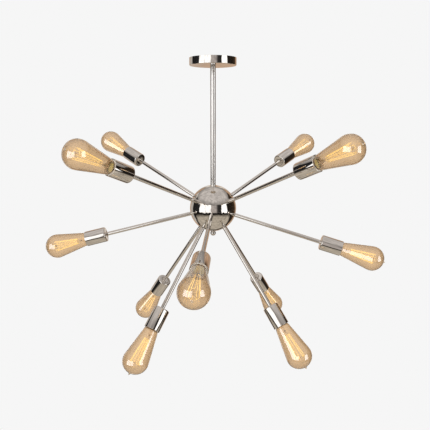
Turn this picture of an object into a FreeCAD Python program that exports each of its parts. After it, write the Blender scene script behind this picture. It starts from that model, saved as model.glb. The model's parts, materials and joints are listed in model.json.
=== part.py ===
import FreeCAD
import Part
import math
import os

# Sputnik chandelier: a ceiling canopy, a straight stem, a polished ball and twelve arms in three
# tiers, each with a socket cup, a lamp holder and a pear-shaped amber lamp.
# Millimetres, +Z up. The origin is the middle of the mounting strap's top face, in the plane of the
# ceiling, so everything hangs below z = 0. -Y is the front.

# ---------------------------------------------------------------- ceiling end
CANOPY_DIAMETER = 120.5
CANOPY_HEIGHT = 19.0
CANOPY_WALL = 1.0
CANOPY_CORNER_RADIUS = 1.5
STRAP_WIDTH = 20.0
STRAP_THICKNESS = 2.0
STRAP_END_GAP = 1.5               # between the strap's round ends and the canopy's wall
BOX_SCREW_SPACING = 88.9
BOX_SLOT_LENGTH = 16.0            # from end to end
BOX_SLOT_WIDTH = 5.0
EARTH_SCREW_OFFSET = 24.0
EARTH_SCREW_THREAD = 4.0
EARTH_SCREW_HEAD = 8.0
EARTH_SCREW_HEAD_HEIGHT = 2.4
SCREW_SLOT_WIDTH = 1.0
SCREW_SLOT_DEPTH = 1.0

# ---------------------------------------------------------------- stem and its threaded tubes
STEM_DIAMETER = 14.0
STEM_LENGTH = 307.5               # from the canopy to the ball
TUBE_THREAD = 10.0                # M10 x 1 lamp thread of the nipple and the tie tube
TUBE_BORE = 7.2
TUBE_ENGAGEMENT = 12.0            # how far a threaded tube reaches into the stem
TUBE_NUT_FLATS = 14.0
TUBE_NUT_THICKNESS = 4.0

# ---------------------------------------------------------------- ball and finial
BALL_DIAMETER = 125.0
BALL_WALL = 2.0
SPIGOT_WALL = 1.3
SPIGOT_REACH = 2.5                # below the seam, inside the lower half
SPIGOT_ROOT = 8.0                 # above the seam, where it is brazed to the upper half
SPIGOT_GAP = 0.15
SEAM_EASING = 0.25                # of the outer edges where the halves meet
INNER_SEAT_DEPTH = 0.1            # of the flats under the nuts inside the ball
SEAT_GAP = 0.5                    # around a nut on its flat
HOLE_CLEARANCE = 0.1              # radial, between a thread and the hole that it passes
FINIAL_BALL_DIAMETER = 15.0
FINIAL_NECK_DIAMETER = 10.0
FINIAL_NECK_HEIGHT = 1.5
FINIAL_THREAD = 6.0               # the tie tube's turned-down lower end
FINIAL_THREAD_DEPTH = 8.0
WINDOW_WIDTH = 5.0                # of the tie tube's window for the leads
WINDOW_HEIGHT = 14.0

# ---------------------------------------------------------------- arms: azimuth, elevation
# Azimuth 0 points to the front and 90 to the right (+X). Elevation is up from the horizontal.
# Each arm has its own angles, because hand-bent seats leave every arm a degree or two off its tier.
ARMS = {
    "upper_1": (-42.0, 22.5),
    "upper_2": (-127.5, 22.2),
    "upper_3": (134.0, 21.0),
    "upper_4": (44.5, 23.8),
    "middle_1": (-4.5, -10.0),
    "middle_2": (-89.0, -13.8),
    "middle_3": (180.0, -14.0),
    "middle_4": (80.5, -16.0),
    "lower_1": (-40.0, -49.0),
    "lower_2": (-125.0, -53.3),
    "lower_3": (133.5, -53.0),
    "lower_4": (48.0, -49.5),
}
ARM_DIAMETER = 10.0
ARM_BORE = 6.0
ARM_THREAD = 8.0
ARM_NUT_FLATS = 13.0
ARM_NUT_THICKNESS = 4.0
THREAD_PROUD = 2.0                # of a thread's end past its nut
CUP_BACK = 300.0                  # from the ball's centre to the cup's back

# ---------------------------------------------------------------- socket cup and lamp holder
CUP_DIAMETER = 40.0
CUP_LENGTH = 56.0
CUP_WALL = 1.0
CUP_CORNER_RADIUS = 3.0
BRACKET_SHEET = 1.2
BRACKET_WIDTH = 12.0
BRACKET_LEG_GAP = 18.6            # between its two legs, clear of the nut
BRACKET_RISE = 11.0               # from the cup's back plate to the porcelain
BRACKET_SPAN = 34.0
BRACKET_SCREW_SPACING = 28.0
BRACKET_SCREW_THREAD = 3.5
BRACKET_SCREW_HEAD = 5.6
BRACKET_SCREW_HEAD_HEIGHT = 2.2
BRACKET_SCREW_REACH = 6.0         # into the porcelain
PORCELAIN_GAP = 0.6               # radial, inside the cup
PORCELAIN_BELOW_RIM = 1.5         # its mouth below the cup's rim
SCREW_SHELL_GAP = 0.05            # radial, inside the porcelain
SCREW_SHELL_SHEET = 0.4
SCREW_SHELL_BELOW_MOUTH = 0.5
CONTACT_SHEET = 0.6
CONTACT_WIDTH = 6.0
CONTACT_LENGTH = 12.0
CONTACT_PAD = 9.0
LAMP_CONTACT_HEIGHT = 5.5         # from the porcelain's floor to the lamp's end contact

# ---------------------------------------------------------------- lamp
THREAD_PITCH = 3.63               # E26 screw
THREAD_TURNS = 4
CAP_CREST_DIAMETER = 26.4
CAP_ROOT_DIAMETER = 24.8
CAP_LENGTH = 25.5
CAP_SHEET = 0.4
CAP_INSULATOR_HEIGHT = 4.5
CAP_CONTACT_DIAMETER = 10.4
CAP_CONTACT_HEIGHT = 1.3
CAP_ABOVE_MOUTH = 0.5             # the cap's rim above the porcelain's mouth
SLIDE_CLEARANCE = 0.3             # radial, between the cap's crests and the screw shell
GLASS_DIAMETER = 64.0
GLASS_WALL = 0.8
GLASS_SHOULDER_HEIGHT = 5.0       # from the cap's rim to the start of the cone
GLASS_SHOULDER_DIAMETER = 36.0
GLASS_WIDEST = 83.5               # from the cap's rim to the widest point
GLASS_CROWN_HEIGHT = 30.5         # from the widest point to the crown
GLASS_NECK_DEPTH = 4.5            # of the neck inside the cap's rim
TIP_DIAMETER = 6.4
TIP_END_DIAMETER = 3.4
TIP_HEIGHT = 4.0
FLARE_HEIGHT = 1.5
STEM_GLASS_DIAMETER = 8.0
STEM_GLASS_TOP = 17.0             # above the cap's rim
ROD_DIAMETER = 2.2
BUTTON_DIAMETER = 3.6             # of the rod's end, which holds the upper hooks
BUTTON_ABOVE = 4.0                # from the cage's end to the button's end
BUTTON_BELOW = 1.5
CAGE_START = 26.0                 # above the cap's rim
CAGE_END = 88.0
CAGE_START_DIAMETER = 13.0
CAGE_END_DIAMETER = 26.0
CAGE_STRANDS = 10                 # an even number
STRAND_DIAMETER = 1.1
CORNER_BEAD_DIAMETER = 1.4
HOOK_DIAMETER = 0.8

# ---------------------------------------------------------------- leads
LEAD_DIAMETER = 1.8
ARM_LEAD_SPACING = 2.2
STEM_LEADS = 3
STEM_LEAD_CIRCLE = 3.8
SPLICE_DIAMETER = 36.0
SPLICE_TOP = 12.0                 # above the ball's centre
SPLICE_BOTTOM = 28.0              # below it
SPLICE_ROUND = 5.0

# ---------------------------------------------------------------- places that follow from the sizes
BALL_RADIUS = BALL_DIAMETER / 2
BALL_INNER_RADIUS = BALL_RADIUS - BALL_WALL
INNER_SEAT = BALL_INNER_RADIUS + INNER_SEAT_DEPTH
STEM_TOP = -CANOPY_HEIGHT
STEM_BOTTOM = STEM_TOP - STEM_LENGTH
STEM_SEAT = math.sqrt(BALL_RADIUS**2 - (STEM_DIAMETER / 2) ** 2)
BALL_CENTRE = STEM_BOTTOM - STEM_SEAT
ARM_SEAT = math.sqrt(BALL_RADIUS**2 - (ARM_DIAMETER / 2) ** 2)
FINIAL_SEAT = math.sqrt(BALL_RADIUS**2 - (FINIAL_NECK_DIAMETER / 2) ** 2)
CUP_RIM = CUP_BACK + CUP_LENGTH
CUP_FLOOR = CUP_BACK + CUP_WALL
BRACKET_FACE = CUP_FLOOR + BRACKET_SHEET
ARM_END = BRACKET_FACE + ARM_NUT_THICKNESS + THREAD_PROUD
PORCELAIN_BASE = CUP_FLOOR + BRACKET_RISE
PORCELAIN_MOUTH = CUP_RIM - PORCELAIN_BELOW_RIM
CAP_RIM = PORCELAIN_MOUTH + CAP_ABOVE_MOUTH
LAMP_END = CAP_RIM - CAP_LENGTH
PORCELAIN_SEAT = LAMP_END - LAMP_CONTACT_HEIGHT
SHELL_CREST_RADIUS = CAP_CREST_DIAMETER / 2 + SLIDE_CLEARANCE
THREAD_DEPTH = (CAP_CREST_DIAMETER - CAP_ROOT_DIAMETER) / 2
SHELL_ROOT_RADIUS = SHELL_CREST_RADIUS + THREAD_DEPTH / 2
PORCELAIN_BORE_RADIUS = SHELL_ROOT_RADIUS + SCREW_SHELL_SHEET + SCREW_SHELL_GAP
PORCELAIN_RADIUS = CUP_DIAMETER / 2 - CUP_WALL - PORCELAIN_GAP
CAP_BORE_RADIUS = CAP_ROOT_DIAMETER / 2 - CAP_SHEET
NECK_RADIUS = CAP_CREST_DIAMETER / 2 - CAP_SHEET
WINDOW_TOP = WINDOW_HEIGHT / 2
EPSILON = 0.01


# ---------------------------------------------------------------- drawing helpers
def at(radius, height):
    """A point of an outline that is turned about the Z axis."""
    return FreeCAD.Vector(radius, 0, height)


def line(start, end):
    return Part.LineSegment(start, end).toShape()


def arc(start, middle, end):
    return Part.Arc(start, middle, end).toShape()


def spin(edges):
    """The solid that a closed outline of edges sweeps in one turn about the Z axis."""
    face = Part.Face(Part.Wire(Part.__sortEdges__(edges)))
    return face.revolve(FreeCAD.Vector(0, 0, 0), FreeCAD.Vector(0, 0, 1), 360)


def turned(*points):
    """The solid of revolution whose outline is a polygon of (radius, height) points."""
    corners = [at(*p) for p in points]
    return spin([line(a, b) for a, b in zip(corners, corners[1:] + corners[:1])])


def rod(diameter, start, end):
    solid = Part.makeCylinder(diameter / 2, end - start)
    solid.translate(FreeCAD.Vector(0, 0, start))
    return solid


def tube(outer, inner, start, end):
    return rod(outer, start, end).cut(rod(inner, start, end))


def block(x_size, y_size, bottom, top, x_middle=0.0):
    solid = Part.makeBox(x_size, y_size, top - bottom)
    solid.translate(FreeCAD.Vector(x_middle - x_size / 2, -y_size / 2, bottom))
    return solid


def moved(solid, x=0.0, y=0.0, z=0.0):
    copy = solid.copy()
    copy.translate(FreeCAD.Vector(x, y, z))
    return copy


def hex_nut(flats, thread, bottom, thickness):
    """A chamfered hexagon nut on the Z axis."""
    corner = flats / math.sqrt(3)
    chamfer = (corner - flats / 2) / math.sqrt(3)
    points = [
        FreeCAD.Vector(
            corner * math.cos(math.radians(60 * k)), corner * math.sin(math.radians(60 * k)), bottom
        )
        for k in range(7)
    ]
    prism = Part.Face(Part.makePolygon(points)).extrude(FreeCAD.Vector(0, 0, thickness))
    top = bottom + thickness
    blank = turned(
        (0, bottom),
        (flats / 2, bottom),
        (corner, bottom + chamfer),
        (corner, top - chamfer),
        (flats / 2, top),
        (0, top),
    )
    return prism.common(blank).cut(rod(thread, bottom, top))


def direction(azimuth, elevation):
    a = math.radians(azimuth)
    e = math.radians(elevation)
    return FreeCAD.Vector(math.sin(a) * math.cos(e), -math.cos(a) * math.cos(e), math.sin(e))


def arm_rotation(azimuth, elevation):
    """Turns +Z to the arm's direction and keeps +X level."""
    a = math.radians(azimuth)
    level = FreeCAD.Vector(math.cos(a), math.sin(a), 0)
    along = direction(azimuth, elevation)
    return FreeCAD.Rotation(level, along.cross(level), along, "ZXY")


def on_arm(solid, angles):
    """A copy of a solid drawn along +Z from the ball's centre, laid along an arm of the ball."""
    copy = solid.copy()
    turn = FreeCAD.Placement(FreeCAD.Vector(0, 0, 0), arm_rotation(*angles))
    copy.Placement = turn.multiply(copy.Placement)
    return copy


def in_place(solid):
    """Moves a solid drawn about the ball's centre to where the ball hangs."""
    return moved(solid, z=BALL_CENTRE)


def on_all_arms(solid):
    return [in_place(on_arm(solid, angles)) for angles in ARMS.values()]


def save(node, *solids):
    shape = solids[0] if len(solids) == 1 else Part.makeCompound(list(solids))
    shape.exportStep(f"parts/{node}.step")
    wrong = [s for s in solids if not s.isValid() or len(s.Solids) != 1]
    print(f"{node}: {len(solids)} solids, {sum(s.Volume for s in solids):.0f} mm3", "BAD" if wrong else "")


# ---------------------------------------------------------------- ceiling end
def mounting_strap():
    inner_radius = CANOPY_DIAMETER / 2 - CANOPY_WALL
    end_radius = inner_radius - STRAP_END_GAP
    solid = block(2 * end_radius, STRAP_WIDTH, -STRAP_THICKNESS, 0)
    solid = solid.common(rod(2 * end_radius, -STRAP_THICKNESS, 0))
    straight = BOX_SLOT_LENGTH - BOX_SLOT_WIDTH
    for side in (-1, 1):
        middle = side * BOX_SCREW_SPACING / 2
        solid = solid.cut(block(straight, BOX_SLOT_WIDTH, -STRAP_THICKNESS, 0, middle))
        for end in (-straight / 2, straight / 2):
            solid = solid.cut(moved(rod(BOX_SLOT_WIDTH, -STRAP_THICKNESS, 0), x=middle + end))
    solid = solid.cut(rod(TUBE_THREAD, -STRAP_THICKNESS, 0))
    return solid.cut(moved(rod(EARTH_SCREW_THREAD, -STRAP_THICKNESS, 0), x=EARTH_SCREW_OFFSET))


def pan_screw(thread, shank, head, head_height):
    """A slotted pan-head screw on the Z axis, head down, with the head's seat at z = 0."""
    edge = head_height / 3
    solid = turned(
        (0, shank),
        (thread / 2, shank),
        (thread / 2, 0),
        (head / 2, 0),
        (head / 2, edge - head_height),
        (head / 2 - edge, -head_height),
        (0, -head_height),
    )
    return solid.cut(block(head, SCREW_SLOT_WIDTH, -head_height, SCREW_SLOT_DEPTH - head_height))


def earth_screw():
    screw = pan_screw(
        EARTH_SCREW_THREAD, STRAP_THICKNESS, EARTH_SCREW_HEAD, EARTH_SCREW_HEAD_HEIGHT
    )
    return moved(screw, x=EARTH_SCREW_OFFSET, z=-STRAP_THICKNESS)


def canopy():
    """A spun dish, open at the top, with a round bottom edge."""
    outer = CANOPY_DIAMETER / 2
    corner = CANOPY_CORNER_RADIUS
    dish = rod(CANOPY_DIAMETER, -CANOPY_HEIGHT, 0)
    dish = dish.makeFillet(corner, [e for e in dish.Edges if e.BoundBox.ZMax < EPSILON - CANOPY_HEIGHT])
    dish = dish.cut(rod(2 * (outer - CANOPY_WALL), CANOPY_WALL - CANOPY_HEIGHT, 0))
    return dish.cut(rod(TUBE_THREAD + 2 * HOLE_CLEARANCE, -CANOPY_HEIGHT, CANOPY_WALL - CANOPY_HEIGHT))


def ceiling_nipple():
    return tube(TUBE_THREAD, TUBE_BORE, STEM_TOP - TUBE_ENGAGEMENT, 0)


def nipple_nuts():
    under_strap = -STRAP_THICKNESS - TUBE_NUT_THICKNESS
    on_canopy = CANOPY_WALL - CANOPY_HEIGHT
    return [
        hex_nut(TUBE_NUT_FLATS, TUBE_THREAD, bottom, TUBE_NUT_THICKNESS)
        for bottom in (under_strap, on_canopy)
    ]


def stem():
    return tube(STEM_DIAMETER, TUBE_THREAD, STEM_BOTTOM, STEM_TOP)


# ---------------------------------------------------------------- ball, drawn about its centre
def flat_cutter(seat, seat_radius):
    """Cuts the ball back to a flat at a distance from its centre, along +Z."""
    return rod(2 * (seat_radius + BALL_WALL), seat, BALL_RADIUS + BALL_WALL)


def inner_flat_cutter(flats):
    """Cuts a flat inside the ball, wide enough for the corners of a nut."""
    width = 2 * (flats / math.sqrt(3) + SEAT_GAP)
    return rod(width, BALL_RADIUS / 2, INNER_SEAT)


def hole_cutter(thread):
    return rod(thread + 2 * HOLE_CLEARANCE, BALL_RADIUS / 2, BALL_RADIUS + BALL_WALL)


def ball_cutters():
    arm = flat_cutter(ARM_SEAT, ARM_DIAMETER / 2)
    arm = arm.fuse(inner_flat_cutter(ARM_NUT_FLATS)).fuse(hole_cutter(ARM_THREAD))
    top = flat_cutter(STEM_SEAT, STEM_DIAMETER / 2)
    top = top.fuse(inner_flat_cutter(TUBE_NUT_FLATS)).fuse(hole_cutter(TUBE_THREAD))
    bottom = flat_cutter(FINIAL_SEAT, FINIAL_NECK_DIAMETER / 2)
    bottom = bottom.fuse(inner_flat_cutter(TUBE_THREAD)).fuse(hole_cutter(FINIAL_THREAD))
    bottom.rotate(FreeCAD.Vector(0, 0, 0), FreeCAD.Vector(1, 0, 0), 180)
    return [top, bottom] + [on_arm(arm, angles) for angles in ARMS.values()]


def half_ball(low, high):
    """A spun half shell, its edge at the seam eased so that a fine line shows there."""
    groove = turned(
        (BALL_RADIUS - SEAM_EASING, 0),
        (BALL_RADIUS + SEAM_EASING, 2 * SEAM_EASING),
        (BALL_RADIUS + SEAM_EASING, -2 * SEAM_EASING),
    )
    shell = Part.makeSphere(BALL_RADIUS).cut(Part.makeSphere(BALL_INNER_RADIUS)).cut(groove)
    return shell.common(block(3 * BALL_RADIUS, 3 * BALL_RADIUS, low, high))


def ball_upper_half(cutters):
    spigot_radius = math.sqrt(BALL_INNER_RADIUS**2 - SPIGOT_REACH**2) - SPIGOT_GAP
    spigot = tube(2 * spigot_radius, 2 * (spigot_radius - SPIGOT_WALL), -SPIGOT_REACH, SPIGOT_ROOT)
    return half_ball(0, 2 * BALL_RADIUS).fuse(spigot).removeSplitter().cut(cutters)


def ball_lower_half(cutters):
    return half_ball(-2 * BALL_RADIUS, 0).cut(cutters)


def tie_tube():
    """From the stem's bore through the ball, with a turned-down end that takes the finial."""
    bore_end = FINIAL_THREAD - INNER_SEAT
    solid = tube(TUBE_THREAD, TUBE_BORE, bore_end, STEM_SEAT + TUBE_ENGAGEMENT)
    solid = solid.fuse(rod(TUBE_THREAD, -INNER_SEAT, bore_end))
    solid = solid.fuse(rod(FINIAL_THREAD, -FINIAL_SEAT - FINIAL_THREAD_DEPTH, -INNER_SEAT))
    window = block(TUBE_THREAD, WINDOW_WIDTH, -WINDOW_TOP, WINDOW_TOP, TUBE_THREAD / 2)
    return solid.removeSplitter().cut(window)


def tie_tube_nut():
    return hex_nut(TUBE_NUT_FLATS, TUBE_THREAD, INNER_SEAT - TUBE_NUT_THICKNESS, TUBE_NUT_THICKNESS)


def finial():
    """A ball knob with a short neck, tapped for the tie tube's end."""
    radius = FINIAL_BALL_DIAMETER / 2
    neck = FINIAL_NECK_DIAMETER / 2
    hole = FINIAL_THREAD / 2
    neck_bottom = -FINIAL_SEAT - FINIAL_NECK_HEIGHT
    centre = neck_bottom - math.sqrt(radius**2 - neck**2)
    hole_bottom = -FINIAL_SEAT - FINIAL_THREAD_DEPTH
    corners = [
        at(0, centre - radius),
        at(0, hole_bottom),
        at(hole, hole_bottom),
        at(hole, -FINIAL_SEAT),
        at(neck, -FINIAL_SEAT),
        at(neck, neck_bottom),
    ]
    sides = [line(a, b) for a, b in zip(corners, corners[1:])]
    return spin(sides + [arc(corners[-1], at(radius, centre), corners[0])])


def splice_outline():
    """The taped bundle's plain outer form, which the arms' leads run up to."""
    radius = SPLICE_DIAMETER / 2
    solid = rod(SPLICE_DIAMETER, -SPLICE_BOTTOM, SPLICE_TOP)
    rims = [e for e in solid.Edges if abs(e.BoundBox.ZLength) < EPSILON and e.BoundBox.XMax > radius / 2]
    return solid.makeFillet(SPLICE_ROUND, rims)


def taped_splices(tie):
    """The bundle around the tie tube, with the tongue that comes out of the tube's window."""
    bundle = splice_outline().cut(tie)
    bundle = bundle.cut(rod(TUBE_BORE, WINDOW_TOP, SPLICE_TOP))
    bundle = bundle.cut(rod(TUBE_BORE, -SPLICE_BOTTOM, -WINDOW_TOP))
    return max(bundle.Solids, key=lambda s: s.Volume)


# ---------------------------------------------------------------- arm, drawn along +Z from the centre
def arm_rod():
    inner_end = INNER_SEAT - ARM_NUT_THICKNESS - THREAD_PROUD
    thread = ARM_THREAD / 2
    radius = ARM_DIAMETER / 2
    bore = ARM_BORE / 2
    return turned(
        (bore, inner_end),
        (thread, inner_end),
        (thread, ARM_SEAT),
        (radius, ARM_SEAT),
        (radius, CUP_BACK),
        (thread, CUP_BACK),
        (thread, ARM_END),
        (bore, ARM_END),
    )


def arm_nuts():
    inside_ball = INNER_SEAT - ARM_NUT_THICKNESS
    return [
        hex_nut(ARM_NUT_FLATS, ARM_THREAD, bottom, ARM_NUT_THICKNESS)
        for bottom in (inside_ball, BRACKET_FACE)
    ]


def round_backed(diameter, corner, back):
    """A rod up to the cup's rim with its back edge rounded."""
    solid = rod(diameter, back, CUP_RIM)
    return solid.makeFillet(corner, [e for e in solid.Edges if e.BoundBox.ZMax < back + EPSILON])


def socket_cup():
    """A drawn cup, closed at the back but for the hole of the rod's thread."""
    cup = round_backed(CUP_DIAMETER, CUP_CORNER_RADIUS, CUP_BACK)
    hollow = round_backed(CUP_DIAMETER - 2 * CUP_WALL, CUP_CORNER_RADIUS - CUP_WALL, CUP_FLOOR)
    return cup.cut(hollow).cut(rod(ARM_THREAD + 2 * HOLE_CLEARANCE, CUP_BACK, CUP_FLOOR))


def holder_bracket():
    """A bent strip: a base under the nut, two legs and two feet under the porcelain."""
    leg_outside = BRACKET_LEG_GAP + 2 * BRACKET_SHEET
    foot_bottom = PORCELAIN_BASE - BRACKET_SHEET
    foot = (BRACKET_SPAN - BRACKET_LEG_GAP) / 2
    strip = block(leg_outside, BRACKET_WIDTH, CUP_FLOOR, BRACKET_FACE)
    for side in (-1, 1):
        leg_middle = side * (BRACKET_LEG_GAP + BRACKET_SHEET) / 2
        foot_middle = side * (BRACKET_LEG_GAP + foot) / 2
        screw_place = side * BRACKET_SCREW_SPACING / 2
        strip = strip.fuse(block(BRACKET_SHEET, BRACKET_WIDTH, CUP_FLOOR, PORCELAIN_BASE, leg_middle))
        strip = strip.fuse(block(foot, BRACKET_WIDTH, foot_bottom, PORCELAIN_BASE, foot_middle))
        strip = strip.cut(
            moved(rod(BRACKET_SCREW_THREAD, foot_bottom, PORCELAIN_BASE), x=screw_place)
        )
    strip = strip.removeSplitter()
    return strip.cut(rod(ARM_THREAD, CUP_FLOOR, BRACKET_FACE))


def holder_screws():
    reach = BRACKET_SHEET + BRACKET_SCREW_REACH
    screw = pan_screw(BRACKET_SCREW_THREAD, reach, BRACKET_SCREW_HEAD, BRACKET_SCREW_HEAD_HEIGHT)
    height = PORCELAIN_BASE - BRACKET_SHEET
    return [moved(screw, x=side * BRACKET_SCREW_SPACING / 2, z=height) for side in (-1, 1)]


def holder_body():
    body = rod(2 * PORCELAIN_RADIUS, PORCELAIN_BASE, PORCELAIN_MOUTH)
    body = body.cut(rod(2 * PORCELAIN_BORE_RADIUS, PORCELAIN_SEAT, PORCELAIN_MOUTH))
    for side in (-1, 1):
        hole = rod(BRACKET_SCREW_THREAD, PORCELAIN_BASE, PORCELAIN_BASE + BRACKET_SCREW_REACH)
        body = body.cut(moved(hole, x=side * BRACKET_SCREW_SPACING / 2))
    return body


def rolled_thread(crest_radius, root_radius, bottom):
    """Edges of a rolled round thread, up along Z, from the mean radius back to it."""
    mean = (crest_radius + root_radius) / 2
    half = THREAD_PITCH / 2
    edges = []
    for k in range(2 * THREAD_TURNS):
        peak = crest_radius if k % 2 == 0 else root_radius
        low = bottom + k * half
        edges.append(arc(at(mean, low), at(peak, low + half / 2), at(mean, low + half)))
    return edges


def screw_shell():
    """A thin rolled sleeve that the lamp's cap screws into."""
    top = PORCELAIN_MOUTH - SCREW_SHELL_BELOW_MOUTH
    thread_bottom = LAMP_END + CAP_INSULATOR_HEIGHT
    thread_top = thread_bottom + THREAD_TURNS * THREAD_PITCH
    mean = (SHELL_CREST_RADIUS + SHELL_ROOT_RADIUS) / 2
    outside = mean + SCREW_SHELL_SHEET
    inner = rolled_thread(SHELL_ROOT_RADIUS, SHELL_CREST_RADIUS, thread_bottom)
    outer = rolled_thread(
        SHELL_ROOT_RADIUS + SCREW_SHELL_SHEET, SHELL_CREST_RADIUS + SCREW_SHELL_SHEET, thread_bottom
    )
    return spin(
        inner
        + outer
        + [
            line(at(mean, PORCELAIN_SEAT), at(mean, thread_bottom)),
            line(at(mean, thread_top), at(mean, top)),
            line(at(mean, top), at(outside, top)),
            line(at(outside, top), at(outside, thread_top)),
            line(at(outside, thread_bottom), at(outside, PORCELAIN_SEAT)),
            line(at(outside, PORCELAIN_SEAT), at(mean, PORCELAIN_SEAT)),
        ]
    )


def centre_contact():
    """A hairpin leaf spring on the porcelain's floor, which the lamp's end presses on."""
    low = PORCELAIN_SEAT
    high = LAMP_END
    right = CONTACT_LENGTH / 2
    outline = [
        (-right, low),
        (right, low),
        (right, high),
        (right - CONTACT_PAD, high),
        (right - CONTACT_PAD, high - CONTACT_SHEET),
        (right - CONTACT_SHEET, high - CONTACT_SHEET),
        (right - CONTACT_SHEET, low + CONTACT_SHEET),
        (-right, low + CONTACT_SHEET),
    ]
    points = [FreeCAD.Vector(x, -CONTACT_WIDTH / 2, z) for x, z in outline]
    face = Part.Face(Part.makePolygon(points + points[:1]))
    return face.extrude(FreeCAD.Vector(0, CONTACT_WIDTH, 0))


# ---------------------------------------------------------------- leads
def arm_leads(angles):
    """Two insulated leads from the taped splices through the arm to the porcelain."""
    bundle = splice_outline()
    start = SPLICE_DIAMETER / 4
    leads = []
    for side in (-1, 1):
        lead = moved(rod(LEAD_DIAMETER, start, PORCELAIN_BASE), x=side * ARM_LEAD_SPACING / 2)
        leads.append(in_place(on_arm(lead, angles).cut(bundle)))
    return leads


def stem_leads():
    """Line, neutral and earth, from the nipple's top to the tongue in the tie tube's window."""
    bottom = BALL_CENTRE + WINDOW_TOP
    leads = []
    for k in range(STEM_LEADS):
        turn = 2 * math.pi * k / STEM_LEADS
        x = STEM_LEAD_CIRCLE / 2 * math.cos(turn)
        y = STEM_LEAD_CIRCLE / 2 * math.sin(turn)
        leads.append(moved(rod(LEAD_DIAMETER, bottom, 0), x=x, y=y))
    return leads


# ---------------------------------------------------------------- lamp, drawn along the arm's axis
def lamp_cap():
    """Threaded shell, insulator and end contact of the screw cap."""
    mean = (CAP_CREST_DIAMETER + CAP_ROOT_DIAMETER) / 4
    crest = CAP_CREST_DIAMETER / 2
    thread_bottom = LAMP_END + CAP_INSULATOR_HEIGHT
    thread_top = thread_bottom + THREAD_TURNS * THREAD_PITCH
    shell = spin(
        rolled_thread(crest, CAP_ROOT_DIAMETER / 2, thread_bottom)
        + [
            line(at(mean, thread_top), at(crest, thread_top + THREAD_PITCH / 4)),
            line(at(crest, thread_top + THREAD_PITCH / 4), at(crest, CAP_RIM)),
            line(at(crest, CAP_RIM), at(NECK_RADIUS, CAP_RIM)),
            line(at(NECK_RADIUS, CAP_RIM), at(NECK_RADIUS, CAP_RIM - GLASS_NECK_DEPTH)),
            line(
                at(NECK_RADIUS, CAP_RIM - GLASS_NECK_DEPTH),
                at(CAP_BORE_RADIUS, CAP_RIM - GLASS_NECK_DEPTH),
            ),
            line(at(CAP_BORE_RADIUS, CAP_RIM - GLASS_NECK_DEPTH), at(CAP_BORE_RADIUS, thread_bottom)),
            line(at(CAP_BORE_RADIUS, thread_bottom), at(mean, thread_bottom)),
        ]
    )
    contact_top = LAMP_END + CAP_CONTACT_HEIGHT
    insulator = turned(
        (0, contact_top),
        (CAP_CONTACT_DIAMETER / 2, contact_top),
        (CAP_BORE_RADIUS, thread_bottom),
        (CAP_BORE_RADIUS, thread_bottom + THREAD_PITCH / 2),
        (0, thread_bottom + THREAD_PITCH / 2),
    )
    contact = turned(
        (0, LAMP_END),
        (CAP_CONTACT_DIAMETER / 2 - CAP_CONTACT_HEIGHT / 2, LAMP_END),
        (CAP_CONTACT_DIAMETER / 2, contact_top),
        (0, contact_top),
    )
    return [shell, insulator, contact]


def glass_outline(inset):
    """Neck, shoulder, cone and head of the glass, drawn in by inset, up to the end of its crown."""
    neck = NECK_RADIUS - inset
    head = GLASS_DIAMETER / 2
    widest = CAP_RIM + GLASS_WIDEST
    shoulder = FreeCAD.Vector(GLASS_SHOULDER_DIAMETER / 2, 0, CAP_RIM + GLASS_SHOULDER_HEIGHT)
    # the cone runs from the shoulder and touches the round head
    reach = math.hypot(shoulder.x, widest - shoulder.z)
    lean = math.asin(head / reach) - math.asin(shoulder.x / reach)
    out = FreeCAD.Vector(math.cos(lean), 0, -math.sin(lean))
    touch = at(0, widest) + out * (head - inset)
    # the shoulder's arc starts at the neck and runs into the cone
    start = at(NECK_RADIUS, CAP_RIM)
    chord = start - shoulder
    radius = -chord.dot(chord) / (2 * chord.dot(out))
    centre = shoulder - out * radius
    small = radius - inset
    rise = math.sqrt(small**2 - (neck - centre.x) ** 2)
    neck_top = at(neck, centre.z - rise)
    cone_start = centre + out * small
    half_way = (neck_top - centre).normalize() + out
    middle = centre + half_way.normalize() * small
    equator = at(head - inset, widest)
    turn = lean / 2
    head_middle = at(0, widest) + at(math.cos(turn), -math.sin(turn)) * (head - inset)
    bottom = at(neck, CAP_RIM - GLASS_NECK_DEPTH)
    edges = [
        line(bottom, neck_top),
        arc(neck_top, middle, cone_start),
        line(cone_start, touch),
        arc(touch, head_middle, equator),
    ]
    return edges, bottom, equator


def crown(inset, end_radius):
    """The flattened crown, from the widest point to where its radius is end_radius.

    Its side arc's centre stands 3 parts off the axis and its top arc's centre 4 parts below the
    widest point, so that the two arcs run into each other along a 3-4-5 triangle.
    """
    head = GLASS_DIAMETER / 2
    widest = CAP_RIM + GLASS_WIDEST
    part = (head - GLASS_CROWN_HEIGHT) / 2
    side_centre = at(3 * part, widest)
    side_radius = head - 3 * part - inset
    top_centre = at(0, widest - 4 * part)
    top_radius = GLASS_CROWN_HEIGHT + 4 * part - inset
    equator = at(head - inset, widest)
    out = at(3 / 5, 4 / 5)
    meeting = side_centre + out * side_radius
    side_middle = side_centre + (out + at(1, 0)).normalize() * side_radius
    end = top_centre + at(end_radius, math.sqrt(top_radius**2 - end_radius**2))
    top_middle = top_centre + (out + (end - top_centre).normalize()).normalize() * top_radius
    return [arc(equator, side_middle, meeting), arc(meeting, top_middle, end)], end


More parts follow.
